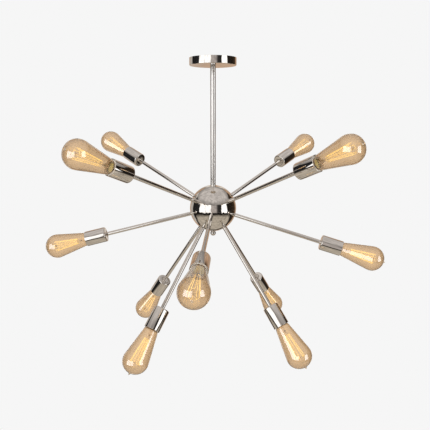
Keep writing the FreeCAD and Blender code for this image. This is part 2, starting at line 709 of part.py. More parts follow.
def lamp_glass():
    outer, outer_bottom, _ = glass_outline(0)
    inner, inner_bottom, _ = glass_outline(GLASS_WALL)
    outer_crown, tip_start = crown(0, TIP_DIAMETER / 2)
    inner_crown, inner_top = crown(GLASS_WALL, 0)
    tip_top = CAP_RIM + GLASS_WIDEST + GLASS_CROWN_HEIGHT + TIP_HEIGHT
    end = TIP_END_DIAMETER / 2
    tip_side = at(end, tip_top - end)
    middle = (tip_start + tip_side) * 0.5 - at(end / 4, end / 4)
    nose = at(end * math.sin(math.pi / 4), tip_top - end + end * math.cos(math.pi / 4))
    return spin(
        outer
        + inner
        + outer_crown
        + inner_crown
        + [
            arc(tip_start, middle, tip_side),
            arc(tip_side, nose, at(0, tip_top)),
            line(at(0, tip_top), inner_top),
            line(inner_bottom, outer_bottom),
        ]
    )


def wire(start, end, diameter):
    run = end - start
    return Part.makeCylinder(diameter / 2, run.Length, start, run)


def around(radius, height, turns):
    angle = 2 * math.pi * turns
    return FreeCAD.Vector(radius * math.cos(angle), radius * math.sin(angle), height)


def cage_ends():
    """The lower and upper ends of the strands, which zigzag round the rod as one long wire."""
    ends = []
    for k in range(CAGE_STRANDS):
        low = around(CAGE_START_DIAMETER / 2, CAP_RIM + CAGE_START, k / CAGE_STRANDS)
        high = around(CAGE_END_DIAMETER / 2, CAP_RIM + CAGE_END, k / CAGE_STRANDS)
        ends += [low, high] if k % 2 == 0 else [high, low]
    return ends


def lamp_mount():
    """Flared glass stem with its rod, and the cage of strands that it carries."""
    neck = NECK_RADIUS - GLASS_WALL
    foot = CAP_RIM - GLASS_NECK_DEPTH
    narrow = STEM_GLASS_DIAMETER / 2
    rod_radius = ROD_DIAMETER / 2
    stem_top = CAP_RIM + STEM_GLASS_TOP
    button = BUTTON_DIAMETER / 2
    button_top = CAP_RIM + CAGE_END + BUTTON_ABOVE
    button_bottom = CAP_RIM + CAGE_END - BUTTON_BELOW
    glass = turned(
        (0, foot),
        (neck, foot),
        (neck, foot + FLARE_HEIGHT),
        (narrow + FLARE_HEIGHT, CAP_RIM + FLARE_HEIGHT),
        (narrow, CAP_RIM + narrow),
        (narrow, stem_top - narrow),
        (rod_radius, stem_top),
        (rod_radius, button_bottom),
        (button, button_bottom),
        (button, button_top),
        (0, button_top),
    )
    ends = cage_ends()
    pieces = [wire(start, end, STRAND_DIAMETER) for start, end in zip(ends, ends[1:])]
    pieces += [Part.makeSphere(CORNER_BEAD_DIAMETER / 2, corner) for corner in ends]
    # each hook holds the short run between two strands, and two lead-in wires feed the open ends
    for start, end in zip(ends[1:-1:2], ends[2:-1:2]):
        middle = (start + end) * 0.5
        pieces.append(wire(FreeCAD.Vector(0, 0, middle.z), middle, HOOK_DIAMETER))
    for end in (ends[0], ends[-1]):
        root = FreeCAD.Vector(end.x, end.y, 0).normalize() * rod_radius
        root.z = stem_top - narrow
        pieces.append(wire(root, end, HOOK_DIAMETER))
    cage = pieces[0].multiFuse(pieces[1:]).cut(glass)
    return [glass] + cage.Solids


# ---------------------------------------------------------------- build
os.makedirs("parts", exist_ok=True)

save("mounting_strap", mounting_strap())
save("earth_screw", earth_screw())
save("ceiling_nipple", ceiling_nipple())
save("nipple_nuts", *nipple_nuts())
save("canopy", canopy())
save("stem", stem())

cutters = ball_cutters()
tie = tie_tube()
save("ball_upper_half", in_place(ball_upper_half(cutters)))
save("ball_lower_half", in_place(ball_lower_half(cutters)))
save("tie_tube", in_place(tie))
save("tie_tube_nut", in_place(tie_tube_nut()))
save("finial", in_place(finial()))
save("taped_splices", in_place(taped_splices(tie)))
save("stem_leads", *stem_leads())

arm = arm_rod()
for tier in ("upper", "middle", "lower"):
    names = [n for n in ARMS if n.startswith(tier)]
    save(f"{tier}_arms", *[in_place(on_arm(arm, ARMS[n])) for n in names])
save("arm_nuts", *[s for nut in arm_nuts() for s in on_all_arms(nut)])
save("arm_leads", *[s for angles in ARMS.values() for s in arm_leads(angles)])
save("socket_cups", *on_all_arms(socket_cup()))
save("holder_brackets", *on_all_arms(holder_bracket()))
save("holder_screws", *[s for screw in holder_screws() for s in on_all_arms(screw)])
save("holder_bodies", *on_all_arms(holder_body()))
save("screw_shells", *on_all_arms(screw_shell()))
save("centre_contacts", *on_all_arms(centre_contact()))

glass = lamp_glass()
cap = lamp_cap()
mount = lamp_mount()
for name, angles in ARMS.items():
    save(f"lamp_glass_{name}", in_place(on_arm(glass, angles)))
    save(f"lamp_cap_{name}", *[in_place(on_arm(piece, angles)) for piece in cap])
    save(f"lamp_mount_{name}", *[in_place(on_arm(piece, angles)) for piece in mount])
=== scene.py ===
import bmesh
import bpy
import json
import math
from mathutils import Matrix, Vector


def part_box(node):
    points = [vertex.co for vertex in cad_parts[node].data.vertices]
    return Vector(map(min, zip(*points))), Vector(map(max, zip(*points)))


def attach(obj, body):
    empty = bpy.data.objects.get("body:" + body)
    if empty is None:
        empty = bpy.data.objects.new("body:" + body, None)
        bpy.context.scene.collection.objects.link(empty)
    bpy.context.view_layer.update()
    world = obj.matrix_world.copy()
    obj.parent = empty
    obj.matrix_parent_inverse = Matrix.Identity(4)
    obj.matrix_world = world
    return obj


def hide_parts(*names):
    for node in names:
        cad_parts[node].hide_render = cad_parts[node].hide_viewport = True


# Looks of a sputnik chandelier with twelve screwed-in amber lamps: polished nickel plate, glazed
# porcelain, rolled brass and blown glass. Metres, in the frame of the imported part.

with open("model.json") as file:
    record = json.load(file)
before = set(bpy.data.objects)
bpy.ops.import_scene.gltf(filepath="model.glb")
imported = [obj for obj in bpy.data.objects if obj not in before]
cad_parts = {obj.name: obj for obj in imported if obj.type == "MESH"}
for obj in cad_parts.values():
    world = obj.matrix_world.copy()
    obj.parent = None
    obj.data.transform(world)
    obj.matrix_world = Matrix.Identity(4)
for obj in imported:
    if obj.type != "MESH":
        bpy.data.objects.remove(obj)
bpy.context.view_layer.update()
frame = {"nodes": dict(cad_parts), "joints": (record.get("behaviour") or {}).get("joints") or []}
nodes = frame["nodes"]
MM = 0.001

# ---------------------------------------------------------------- sizes, in millimetres
CANOPY_RADIUS = 60.25
CANOPY_HEIGHT = 19.0
CANOPY_WALL = 1.0
CANOPY_CORNER = 1.5
STEM_RADIUS = 7.0
STEM_BORE = 5.0
BALL_RADIUS = 62.5
FINIAL_RADIUS = 7.5
FINIAL_NECK = 5.0
FINIAL_NECK_HEIGHT = 1.5
FINIAL_TAPPED = 3.0             # radius of its tapped hole
FINIAL_TAPPED_DEPTH = 8.0
TUBE_HOLE = 5.1                 # radius of the hole for the threaded tube in the canopy
ROD_RADIUS = 5.0
ROD_BORE = 3.0
ROD_THREAD = 4.0
ROD_END_IN_BALL = 8.0           # length of the thread inside the ball
ROD_END_IN_CUP = 8.2            # and inside the cup
CUP_BACK = 300.0                # from the ball's centre along an arm
CUP_RIM = 356.0
CUP_RADIUS = 20.0
CUP_WALL = 1.0
CUP_CORNER = 3.0                # of the rounded back edge
PORCELAIN_BASE = 312.0
PORCELAIN_MOUTH = CUP_RIM - 1.5
PORCELAIN_RADIUS = 18.4
PORCELAIN_BORE = 14.35
CAP_RIM = PORCELAIN_MOUTH + 0.5
LAMP_END = CAP_RIM - 25.5
PORCELAIN_SEAT = LAMP_END - 5.5
CAP_CREST = 13.2
CAP_ROOT = 12.4
CAP_WALL = 0.4
CAP_SHELL_FOOT = 4.5            # above the lamp's end contact
CONTACT_RADIUS = 4.5
CONTACT_HEIGHT = 1.3
INSULATOR_RADIUS = 5.2
THREAD_PITCH = 3.63
THREAD_TURNS = 4
GLASS_RADIUS = 32.0
GLASS_WALL = 0.8
GLASS_SHOULDER = (18.0, CAP_RIM + 5.0)
GLASS_WIDEST = CAP_RIM + 83.5
GLASS_CROWN = 30.5              # from the widest point to the crown
TIP_RADIUS = 3.2
TIP_END_RADIUS = 1.7
TIP_HEIGHT = 4.0
NECK_RADIUS = 12.8
NECK_DEPTH = 4.5                # of the neck inside the cap's rim
MOUNT_TOP = CAP_RIM + 17.0
CAGE_START = CAP_RIM + 26.0
CAGE_END = CAP_RIM + 88.0
CAGE_FOOT_RADIUS = 6.5
CAGE_HEAD_RADIUS = 13.0
STRANDS = 10
STRAND_RADIUS = 0.5
HOOK_RADIUS = 0.3
LEAD_IN_RADIUS = 0.35
CENTRE_ROD_RADIUS = 1.1
STEM_GLASS_RADIUS = 4.0
FLARE_WALL = 0.9

ARM_NAMES = [f"{tier}_{k}" for tier in ("upper", "middle", "lower") for k in (1, 2, 3, 4)]
STEM_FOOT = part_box("stem")[0].z
BALL_CENTRE = Vector((0, 0, STEM_FOOT - math.sqrt(BALL_RADIUS**2 - STEM_RADIUS**2) * MM))
ARM_SEAT = math.sqrt(BALL_RADIUS**2 - ROD_RADIUS**2)


# ---------------------------------------------------------------- outlines of turned pieces
def arc(x, z, radius, start, end, steps):
    """Points of an arc about (x, z), angles in degrees from the radius towards the axis' end."""
    angles = [math.radians(start + (end - start) * k / steps) for k in range(steps + 1)]
    return [(x + radius * math.cos(a), z + radius * math.sin(a)) for a in angles]


def eased(outline, size=0.25, steps=3):
    """The closed outline with every corner sharper than 35 degrees rounded by about size."""
    out = []
    count = len(outline)
    for k, point in enumerate(outline):
        before, here, after = (Vector(outline[j % count]) for j in (k - 1, k, k + 1))
        first, second = before - here, after - here
        turn = 180 - math.degrees(first.angle(second)) if first.length and second.length else 0
        if turn < 35 or here.x < 1e-6:
            out.append(point)
            continue
        cut = min(size, first.length * 0.45, second.length * 0.45)
        start, end = here + first.normalized() * cut, here + second.normalized() * cut
        for j in range(steps + 1):
            t = j / steps
            out.append(tuple(start * (1 - t) ** 2 + here * 2 * t * (1 - t) + end * t**2))
    return out


def ring_point(radius, angle, height):
    """A point in metres, from a radius and a height in millimetres."""
    return (radius * math.cos(angle) * MM, radius * math.sin(angle) * MM, height * MM)


def turned(name, outline, material, segments=96):
    """A smooth-shaded solid of revolution about Z from a closed outline of (radius, height)."""
    mesh = bpy.data.meshes.new(name)
    build = bmesh.new()
    rings = []
    for radius, height in outline:
        if radius < 1e-6:
            rings.append([build.verts.new((0, 0, height * MM))])
            continue
        ring = []
        for k in range(segments):
            ring.append(build.verts.new(ring_point(radius, 2 * math.pi * k / segments, height)))
        rings.append(ring)
    for lower, upper in zip(rings, rings[1:] + rings[:1]):
        if len(lower) == 1 and len(upper) == 1:
            continue
        for k in range(segments):
            n = (k + 1) % segments
            corners = [lower[k % len(lower)], lower[n % len(lower)]]
            corners += [upper[n % len(upper)], upper[k % len(upper)]]
            build.faces.new(list(dict.fromkeys(corners)))
    bmesh.ops.recalc_face_normals(build, faces=build.faces)
    finish_mesh(build, mesh)
    mesh.materials.append(material)
    return mesh


def finish_mesh(build, mesh, sharp=32):
    """Writes the mesh, smooth but for edges that turn by more than sharp degrees."""
    for face in build.faces:
        face.smooth = True
    for edge in build.edges:
        edge.smooth = len(edge.link_faces) < 2 or math.degrees(edge.calc_face_angle(0)) < sharp
    build.to_mesh(mesh)
    build.free()


def place(name, mesh, body, replaced=None, matrix=None):
    """A piece with its own mesh, laid by the matrix, so that patterns differ from arm to arm."""
    own = mesh.copy()
    if matrix:
        own.transform(matrix)
    piece = bpy.data.objects.new(name, own)
    bpy.context.scene.collection.objects.link(piece)
    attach(piece, body)
    if replaced:
        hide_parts(replaced)
    return piece


# ---------------------------------------------------------------- materials
def colour(text):
    """The linear colour, with alpha, of an sRGB hex value."""
    parts = [int(text[k : k + 2], 16) / 255 for k in (1, 3, 5)]
    return [p / 12.92 if p <= 0.04045 else ((p + 0.055) / 1.055) ** 2.4 for p in parts] + [1.0]


def add(tree, kind, inputs=None, **settings):
    """A node with its settings and inputs. Sockets 6 and 7 of a Mix are its two colours."""
    node = tree.nodes.new(kind)
    for key, value in settings.items():
        setattr(node, key, value)
    for key, value in (inputs or {}).items():
        if isinstance(value, bpy.types.NodeSocket):
            tree.links.new(value, node.inputs[key])
        else:
            node.inputs[key].default_value = value
    return node


def new_material(name):
    """An empty material, with its shader, its output and the place on the piece in millimetres."""
    material = bpy.data.materials.new(name)
    material.use_nodes = True
    tree = material.node_tree
    tree.nodes.clear()
    shader = add(tree, "ShaderNodeBsdfPrincipled")
    output = add(tree, "ShaderNodeOutputMaterial", {"Surface": shader.outputs[0]})
    on_piece = add(tree, "ShaderNodeTexCoord").outputs["Object"]
    place_in_mm = add(tree, "ShaderNodeVectorMath", {0: on_piece}, operation="SCALE")
    place_in_mm.inputs["Scale"].default_value = 1 / MM
    return material, tree, shader, output, place_in_mm.outputs[0]


def bright_nickel(name, smoothest, roughest, tint="#E4DFD9"):
    """Bright nickel plate: a warm mirror whose buffing haze wanders between two roughnesses."""
    material, tree, shader, _, mm = new_material(name)
    shader.inputs["Base Color"].default_value = colour(tint)
    shader.inputs["Metallic"].default_value = 1.0
    # haze in patches of 20 mm, as a buffing wheel leaves it
    haze = add(tree, "ShaderNodeTexNoise", {"Vector": mm, "Scale": 0.05, "Detail": 3.0})
    span = {"From Min": 0.3, "From Max": 0.7, "To Min": smoothest, "To Max": roughest}
    rough = add(tree, "ShaderNodeMapRange", {"Value": haze.outputs[0], **span})
    tree.links.new(rough.outputs[0], shader.inputs["Roughness"])
    # waviness of about 3 mm, coarser than the real grain so that it shows
    grain = add(tree, "ShaderNodeTexNoise", {"Vector": mm, "Scale": 0.35, "Detail": 2.0})
    wave = {"Height": grain.outputs[0], "Strength": 0.02, "Distance": 0.05 * MM}
    bump = add(tree, "ShaderNodeBump", wave)
    tree.links.new(bump.outputs[0], shader.inputs["Normal"])
    return material


def grained_metal(name, tint, dark, roughness, scale=0.8):
    """A duller metal whose tint and gloss wander over a few millimetres."""
    material, tree, shader, _, mm = new_material(name)
    shader.inputs["Metallic"].default_value = 1.0
    cloud = add(tree, "ShaderNodeTexNoise", {"Vector": mm, "Scale": scale, "Detail": 4.0})
    tints = {"Factor": cloud.outputs[0], 6: colour(tint), 7: colour(dark)}
    mix = add(tree, "ShaderNodeMix", tints, data_type="RGBA")
    tree.links.new(mix.outputs[2], shader.inputs["Base Color"])
    gloss = {"Value": cloud.outputs[0], "To Min": roughness * 0.8, "To Max": roughness * 1.3}
    rough = add(tree, "ShaderNodeMapRange", gloss)
    tree.links.new(rough.outputs[0], shader.inputs["Roughness"])
    return material


def dull_surface(name, tint, dark, roughness, scale=0.5, bump_mm=0.02, glow=0.0):
    """A non-metal whose colour wanders a little, with a fine skin. Glow is painted light: an emission in the
    surface's own colour.
    """
    material, tree, shader, _, mm = new_material(name)
    cloud = add(tree, "ShaderNodeTexNoise", {"Vector": mm, "Scale": scale, "Detail": 4.0})
    tints = {"Factor": cloud.outputs[0], 6: colour(tint), 7: colour(dark)}
    mix = add(tree, "ShaderNodeMix", tints, data_type="RGBA")
    tree.links.new(mix.outputs[2], shader.inputs["Base Color"])
    # painted glow: the surface's own colour given out as light, as strong as glow says
    tree.links.new(mix.outputs[2], shader.inputs["Emission Color"])
    shader.inputs["Emission Strength"].default_value = glow
    shader.inputs["Roughness"].default_value = roughness
    skin = {"Height": cloud.outputs[0], "Strength": 0.3, "Distance": bump_mm * MM}
    bump = add(tree, "ShaderNodeBump", skin)
    tree.links.new(bump.outputs[0], shader.inputs["Normal"])
    return material


def blown_glass(name, tint, edge, index, ripple, lustre):
    """Blown glass: clear in front, deeper in tint where it is seen edge on, under a lustre coat."""
    material, tree, shader, _, mm = new_material(name)
    facing = add(tree, "ShaderNodeLayerWeight", {"Blend": 0.35})
    tints = {"Factor": facing.outputs["Facing"], 6: colour(tint), 7: colour(edge)}
    mix = add(tree, "ShaderNodeMix", tints, data_type="RGBA")
    tree.links.new(mix.outputs[2], shader.inputs["Base Color"])
    shader.inputs["Transmission Weight"].default_value = 1.0
    shader.inputs["Roughness"].default_value = 0.0
    shader.inputs["IOR"].default_value = index
    shader.inputs["Coat Weight"].default_value = lustre
    shader.inputs["Coat IOR"].default_value = 2.0
    shader.inputs["Coat Roughness"].default_value = 0.0
    # slow ripples of 25 mm, as the mould leaves them
    wave = add(tree, "ShaderNodeTexNoise", {"Vector": mm, "Scale": 0.04, "Detail": 1.0})
    height = {"Height": wave.outputs[0], "Strength": ripple, "Distance": 2 * MM}
    bump = add(tree, "ShaderNodeBump", height)
    tree.links.new(bump.outputs[0], shader.inputs["Normal"])
    return material


def glowing_strand():
    """Strands under a yellow coat that gives back the light it takes, with a painted glow on top: an emission
    that keeps them bright inside the glass.
    """
    material, tree, shader, _, mm = new_material("strand_yellow_phosphor_painted_glow")
    # lumps of the coat, about 2 mm long
    beads = add(tree, "ShaderNodeTexNoise", {"Vector": mm, "Scale": 0.6, "Detail": 2.0})
    tints = {"Factor": beads.outputs[0], 6: colour("#FFF3B8"), 7: colour("#FFDF8C")}
    mix = add(tree, "ShaderNodeMix", tints, data_type="RGBA")
    tree.links.new(mix.outputs[2], shader.inputs["Base Color"])
    # painted glow: the coat's colour given out as light, whatever light reaches the strands
    tree.links.new(mix.outputs[2], shader.inputs["Emission Color"])
    shader.inputs["Emission Strength"].default_value = 0.8
    shader.inputs["Roughness"].default_value = 0.5
    return material


# spun canopy, ball and cups: a mirror that shows the room sharply
nickel = bright_nickel("brass_buffed_nickel_plated", 0.035, 0.06)
# drawn arm rods: their die lines soften what they mirror into streaks
tube_nickel = bright_nickel("steel_tube_drawn_nickel_plated", 0.09, 0.13)
# rolled stem: paler and softer, with the room spread into one pale sheen
stem_nickel = bright_nickel("steel_tube_rolled_nickel_plated", 0.3, 0.36, "#FAF7F4")
# pressed strap, nuts and brackets: cool grey with a spangle
zinc_steel = grained_metal("steel_pressed_zinc_plated", "#C3C6C8", "#A8ABA6", 0.28)
# earth screw: green, as its lacquer marks it
green_steel = grained_metal("steel_screw_green_passivated", "#3E8F4A", "#2C7038", 0.35)
# screw shell of the holder: warm yellow, bright from rolling
socket_brass = grained_metal("brass_rolled_bright", "#D3B06A", "#B8924C", 0.2)
# springy end contact: redder than brass
spring_bronze = grained_metal("phosphor_bronze_stamped", "#C98F5C", "#A9743F", 0.25)
# cap of the lamp: pale yellow brass with a fine haze
cap_brass = grained_metal("brass_drawn_lamp_cap", "#D9C58A", "#BFA560", 0.22)
# drop of solder on the cap's end: dull grey with a frosty grain
solder = grained_metal("solder_cooled", "#BDBDBA", "#9A9A96", 0.4, 1.5)
# hooks and lead-in wires: thin warm grey lines
strand_wire = grained_metal("nickel_wire_drawn", "#B9B3A8", "#8F887C", 0.3, 2.0)
# body of the holder: warm white under a glaze that shines
porcelain = dull_surface("porcelain_glazed", "#F6F3EC", "#E9E4D9", 0.12, 0.15, 0.01)
# disc in the cap's end: black, with the gloss of fused glass
insulator = dull_surface("glass_black_fused", "#1B1A1D", "#26242A", 0.15, 0.6, 0.01)
# covers of the leads: off-white, half matt
lead_cover = dull_surface("pvc_extruded_lead_cover", "#E4E0D4", "#D5D0C2", 0.4)
# tape on the splices: black, with shallow wrinkles
tape = dull_surface("pvc_tape_wound", "#22211F", "#2D2B28", 0.45, 0.3, 0.1)
# cement in the lamp's neck: a mottled yellow-green disc, with a painted glow that stands in for the light the
# cap keeps out
cement = dull_surface("basing_cement_painted_glow", "#F8F9B4", "#7A7535", 0.6, 0.35, 0.1, 0.5)
# lamp glass: pale amber with brown edges and hard white highlights
amber = blown_glass("glass_blown_amber", "#F4E0C5", "#A0825C", 1.5, 0.004, 0.5)
# stem of the lamp: clear, seen only by what it bends
stem_glass = blown_glass("glass_pressed_clear", "#FBF6F2", "#F0E4DC", 1.5, 0.004, 0.0)
# long strands: bright yellow bars in the amber, lit by a painted glow
strand = glowing_strand()


# ---------------------------------------------------------------- fixture
def closed_dish():
    """The canopy's spun wall, outside down to the rounded bottom edge and back up inside."""
    bottom = -CANOPY_HEIGHT
    corner = arc(CANOPY_RADIUS - CANOPY_CORNER, bottom + CANOPY_CORNER, CANOPY_CORNER, 0, -90, 10)
    inner = CANOPY_RADIUS - CANOPY_WALL
    floor = bottom + CANOPY_WALL
    inside = [(TUBE_HOLE, bottom), (TUBE_HOLE, floor), (inner, floor), (inner, 0)]
    return [(CANOPY_RADIUS, 0)] + corner + inside


def knob():
    """The finial's ball on its neck, rounded into it, and its tapped hole."""
    seat = -math.sqrt(BALL_RADIUS**2 - FINIAL_NECK**2)
    neck_foot = seat - FINIAL_NECK_HEIGHT
    centre = neck_foot - math.sqrt(FINIAL_RADIUS**2 - FINIAL_NECK**2)
    start = math.degrees(math.asin((neck_foot - centre) / FINIAL_RADIUS))
    ball = arc(0, centre, FINIAL_RADIUS, start, -90, 28)
    ball[-1] = (0, centre - FINIAL_RADIUS)
    neck = [(FINIAL_TAPPED, seat), (FINIAL_NECK, seat), (FINIAL_NECK, neck_foot)]
    hole = [(0, seat - FINIAL_TAPPED_DEPTH), (FINIAL_TAPPED, seat - FINIAL_TAPPED_DEPTH)]
    return neck + ball + hole


def rod_outline():
    """The arm's rod, stepped down to its thread at both ends."""
    start = ARM_SEAT - ROD_END_IN_BALL
    end = CUP_BACK + ROD_END_IN_CUP
    in_ball = [(ROD_BORE, start), (ROD_THREAD, start), (ROD_THREAD, ARM_SEAT)]
    rod = [(ROD_RADIUS, ARM_SEAT), (ROD_RADIUS, CUP_BACK)]
    in_cup = [(ROD_THREAD, CUP_BACK), (ROD_THREAD, end), (ROD_BORE, end)]
    return in_ball + rod + in_cup


def cup_outline():
    """The cup's wall, with its rounded back edge and its rolled lip."""
    hole = ROD_THREAD + 0.1
    corner_radius, corner_height = CUP_RADIUS - CUP_CORNER, CUP_BACK + CUP_CORNER
    outside = arc(corner_radius, corner_height, CUP_CORNER, -90, 0, 12)
    lip = arc(CUP_RADIUS - CUP_WALL / 2, CUP_RIM - CUP_WALL / 2, CUP_WALL / 2, 0, 180, 8)
    inside = arc(corner_radius, corner_height, CUP_CORNER - CUP_WALL, 0, -90, 8)
    return [(hole, CUP_BACK)] + outside + lip + inside + [(hole, CUP_BACK + CUP_WALL)]


def porcelain_outline():
    """The holder's body, with a deep bore for the lamp's cap."""
    return eased(
        [
            (0, PORCELAIN_BASE), (PORCELAIN_RADIUS, PORCELAIN_BASE), (PORCELAIN_RADIUS, PORCELAIN_MOUTH),
            (PORCELAIN_BORE, PORCELAIN_MOUTH), (PORCELAIN_BORE, PORCELAIN_SEAT), (0, PORCELAIN_SEAT),
        ],
        0.9,
        5,
    )


dish_mesh = turned("canopy_dish", eased(closed_dish(), 0.3), nickel, 160)
place("canopy_dish", dish_mesh, "fixture", "canopy")
stem_low, stem_high = (corner.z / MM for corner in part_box("stem"))
stem_wall = [(STEM_BORE, stem_low), (STEM_RADIUS, stem_low), (STEM_RADIUS, stem_high), (STEM_BORE, stem_high)]
stem_tube_mesh = turned("stem_tube", eased(stem_wall, 0.3), stem_nickel, 96)
place("stem_tube", stem_tube_mesh, "fixture", "stem")
knob_mesh = turned("finial_knob", eased(knob(), 0.2), nickel, 96)
ball_place = Matrix.Translation(BALL_CENTRE)
place("finial_knob", knob_mesh, "fixture", "finial", ball_place)


# ---------------------------------------------------------------- arms and lamps
def arm_matrix(axis):
    """Lays +Z of a piece drawn from the ball's centre along an arm, with +X kept level."""
    along = Vector(axis).normalized()
    level = Vector((-along.y, along.x, 0)).normalized()
    across = along.cross(level)
    turn = Matrix((level, across, along)).transposed().to_4x4()
    return Matrix.Translation(BALL_CENTRE) @ turn


axes = {j["name"].removeprefix("unscrew_"): j["axis"] for j in frame["joints"]}


def envelope_outline(inset):
    """Neck, shoulder, cone, round head and flattened crown of the lamp glass, drawn in by inset."""
    widest = GLASS_WIDEST
    shoulder = Vector(GLASS_SHOULDER)
    reach = math.hypot(shoulder.x, widest - shoulder.y)
    lean = math.asin(GLASS_RADIUS / reach) - math.asin(shoulder.x / reach)
    out = Vector((math.cos(lean), -math.sin(lean)))
    start = Vector((NECK_RADIUS, CAP_RIM))
    chord = start - shoulder
    radius = -chord.dot(chord) / (2 * chord.dot(out))
    centre = shoulder - out * radius
    small = radius - inset
    neck = NECK_RADIUS - inset
    low = math.degrees(math.atan2(-math.sqrt(small**2 - (neck - centre.x) ** 2), neck - centre.x))
    lean_degrees = math.degrees(lean)
    points = [(neck, CAP_RIM - NECK_DEPTH)]
    points += arc(centre.x, centre.y, small, low, -lean_degrees, 10)
    first = Vector(points[-1])
    head = GLASS_RADIUS - inset
    touch = Vector((head * out.x, widest + head * out.y))
    points += [tuple(first.lerp(touch, k / 10)) for k in range(1, 10)]
    points += arc(0, widest, head, -lean_degrees, 0, 8)
    # the crown's two arcs meet along a 3-4-5 triangle
    part = (GLASS_RADIUS - GLASS_CROWN) / 2
    meeting = math.degrees(math.atan2(4, 3))
    top_radius = GLASS_CROWN + 4 * part - inset
    end = math.degrees(math.acos((TIP_RADIUS if inset == 0 else 0) / top_radius))
    points += arc(3 * part, widest, head - 3 * part, 0, meeting, 14)[1:]
    points += arc(0, widest - 4 * part, top_radius, meeting, end, 12)[1:]
    return points


def glass_outline():
    """Closed outline of the blown wall, with the drawn-off tip on its crown."""
    outer = envelope_outline(0)
    inner = envelope_outline(GLASS_WALL)
    inner[-1] = (0, inner[-1][1])
    base = Vector(outer[-1])
    top = GLASS_WIDEST + GLASS_CROWN + TIP_HEIGHT
    side = Vector((TIP_END_RADIUS, top - TIP_END_RADIUS))
    pull = Vector((TIP_END_RADIUS + 0.25, base.y + 0.6))
    tip = []
    for k in range(1, 9):
        t = k / 8
        tip.append(tuple(base * (1 - t) ** 2 + pull * 2 * t * (1 - t) + side * t**2))
    nose = arc(0, top - TIP_END_RADIUS, TIP_END_RADIUS, 0, 90, 8)
    nose[-1] = (0, top)
    return outer + tip + nose[1:] + inner[::-1]


def thread_mesh(name):
    """The cap's rolled shell with a true helical thread, its insulator, end contact and cement."""
    mesh = bpy.data.meshes.new(name)
    build = bmesh.new()
    segments = 72
    bottom = LAMP_END + CAP_SHELL_FOOT
    top = bottom + THREAD_TURNS * THREAD_PITCH
    rows = THREAD_TURNS * 14
    mean = (CAP_CREST + CAP_ROOT) / 2
    depth = (CAP_CREST - CAP_ROOT) / 2
    outside = []
    for row in range(rows + 1):
        height = bottom + (top - bottom) * row / rows
        fade = min(1, (height - bottom) / 1.8, (top - height) / 1.8)
        ring = []
        for k in range(segments):
            a = 2 * math.pi * k / segments
            wave = math.cos(2 * math.pi * (height - bottom) / THREAD_PITCH - a)
            radius = mean + depth * wave * fade
            ring.append((radius, a, height))
        outside.append(ring)
    neck_foot = CAP_RIM - NECK_DEPTH
    inner = CAP_ROOT - CAP_WALL
    collar = [
        (mean, top + 0.3), (CAP_CREST - 0.1, top + 0.9), (CAP_CREST, top + 1.2),
        (CAP_CREST, CAP_RIM - 0.3), (CAP_CREST - 0.1, CAP_RIM - 0.05), (CAP_CREST - 0.3, CAP_RIM),
        (NECK_RADIUS, CAP_RIM), (NECK_RADIUS, neck_foot),
    ]
    rings = outside
    for radius, height in collar + [(inner, neck_foot), (inner, bottom)]:
        rings.append([(radius, 2 * math.pi * k / segments, height) for k in range(segments)])
    made = []
    for ring in rings:
        made.append([build.verts.new(ring_point(*point)) for point in ring])
    for lower, upper in zip(made, made[1:] + made[:1]):
        for k in range(segments):
            n = (k + 1) % segments
            build.faces.new([lower[k], lower[n], upper[n], upper[k]])
    glass_foot = LAMP_END + CONTACT_HEIGHT
    disc_top = bottom + 1.8
    disc = [(0, glass_foot), (INSULATOR_RADIUS, glass_foot), (inner, bottom)]
    disc += [(inner, disc_top), (0, disc_top)]
    contact = [(0, LAMP_END), (CONTACT_RADIUS, LAMP_END), (INSULATOR_RADIUS, glass_foot), (0, glass_foot)]
    filling = [(0, neck_foot - 4), (inner, neck_foot - 4), (inner, neck_foot - 0.3), (0, neck_foot - 1)]
    for outline, ease, index in ((disc, 0.3, 1), (contact, 0.4, 2), (filling, 0.3, 3)):
        old = set(build.faces)
        part = turned("part", eased(outline, ease), nickel, 48)
        build.from_mesh(part)
        bpy.data.meshes.remove(part)
        for face in build.faces:
            if face not in old:
                face.material_index = index
    bmesh.ops.recalc_face_normals(build, faces=build.faces)
    finish_mesh(build, mesh, 50)
    for material in (cap_brass, insulator, solder, cement):
        mesh.materials.append(material)
    return mesh


def tube_along(build, points, radius, sides=10, index=0):
    """A round wire through the points, closed at both ends."""
    rings = []
    across = None
    for k, point in enumerate(points):
        before = points[max(k - 1, 0)]
        after = points[min(k + 1, len(points) - 1)]
        along = (after - before).normalized()
        if across is None:
            across = along.orthogonal().normalized()
        across = (across - along * across.dot(along)).normalized()
        other = along.cross(across)
        ring = []
        for j in range(sides):
            a = 2 * math.pi * j / sides
            offset = across * math.cos(a) + other * math.sin(a)
            ring.append(build.verts.new((point + offset * radius) * MM))
        rings.append(ring)
    made = []
    for lower, upper in zip(rings, rings[1:]):
        for j in range(sides):
            n = (j + 1) % sides
            made.append(build.faces.new([lower[j], lower[n], upper[n], upper[j]]))
    made.append(build.faces.new(rings[0][::-1]))
    made.append(build.faces.new(rings[-1]))
    for face in made:
        face.material_index = index


def rounded_path(corners, radius, steps=6):
    """The corners joined by straight runs, with each turn rounded."""
    path = [corners[0]]
    for before, here, after in zip(corners, corners[1:], corners[2:]):
        first, second = before - here, after - here
        cut = min(radius, first.length * 0.48, second.length * 0.48)
        start, end = here + first.normalized() * cut, here + second.normalized() * cut
        for j in range(steps + 1):
            t = j / steps
            path.append(start * (1 - t) ** 2 + here * 2 * t * (1 - t) + end * t**2)
    path.append(corners[-1])
    return path


def cage_corners():
    """Turning points of the wire, round the cage from its foot to its head and back."""
    corners = []
    for k in range(STRANDS):
        a = 2 * math.pi * k / STRANDS
        low = Vector((CAGE_FOOT_RADIUS * math.cos(a), CAGE_FOOT_RADIUS * math.sin(a), CAGE_START))
        high = Vector((CAGE_HEAD_RADIUS * math.cos(a), CAGE_HEAD_RADIUS * math.sin(a), CAGE_END))
        corners += [low, high] if k % 2 == 0 else [high, low]
    return corners


